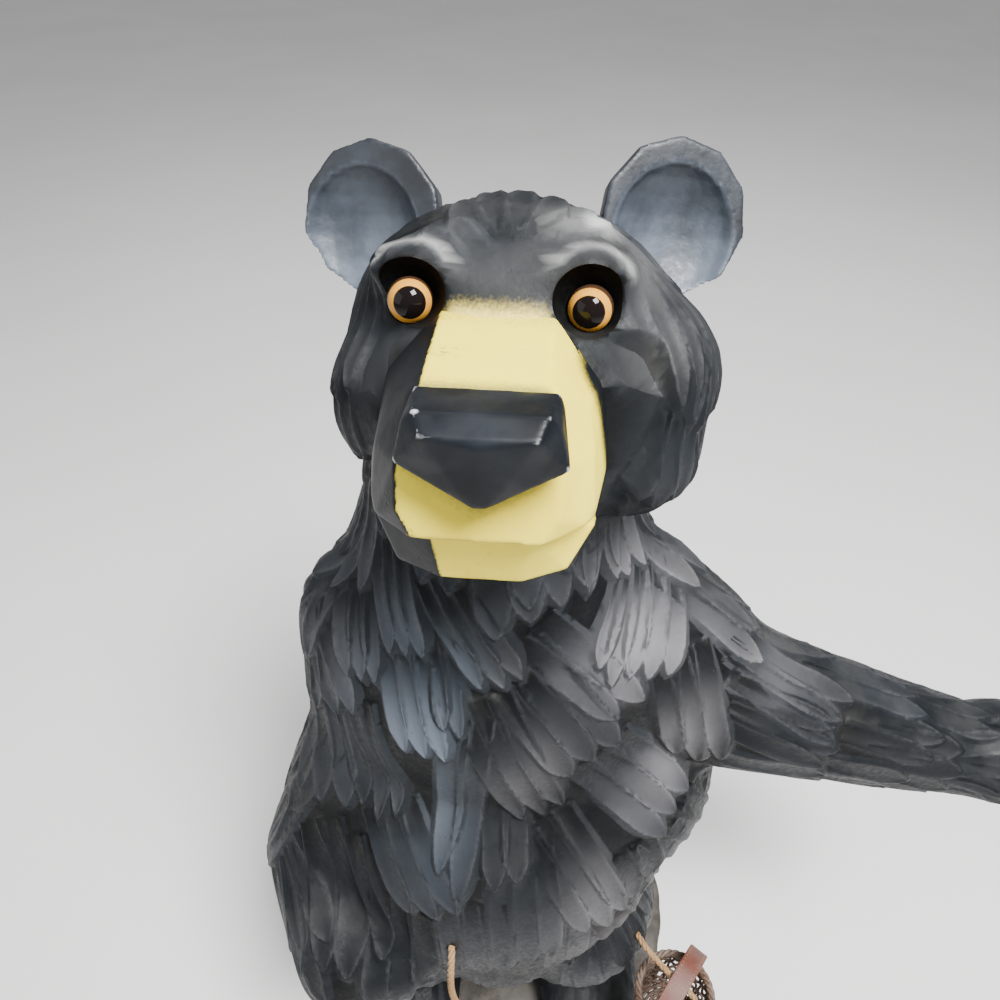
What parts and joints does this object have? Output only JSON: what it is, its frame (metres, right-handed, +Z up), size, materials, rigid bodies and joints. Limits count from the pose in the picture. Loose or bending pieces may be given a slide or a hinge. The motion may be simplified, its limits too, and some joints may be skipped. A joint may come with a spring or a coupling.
{
  "type": "resin bear door greeter",
  "caption": "Standing bear figure in cast resin with a carved look, one arm held out, on a low oval base, with glass-like eyes and a small wicker basket on a jute twine.",
  "frame": {"origin": "centre of the base's underside", "axes": "+Z up, the bear faces -Y, its outstretched left arm points to +X"},
  "size_m": [0.4409, 0.256, 0.6195],
  "materials": {
    "resin_fur": "dry-brushed charcoal with a cream muzzle",
    "eye": "glossy, orange-tan iris",
    "base_resin": "matte",
    "wicker": "woven, matte",
    "handle_leather": "satin",
    "jute": "twisted fibre"
  },
  "bodies": {
    "root": {"bear": "resin_fur", "eye_left": "eye", "eye_right": "eye", "base": "base_resin", "basket": "wicker", "basket_handle": "handle_leather", "twine": "jute"}
  },
  "joints": []
}
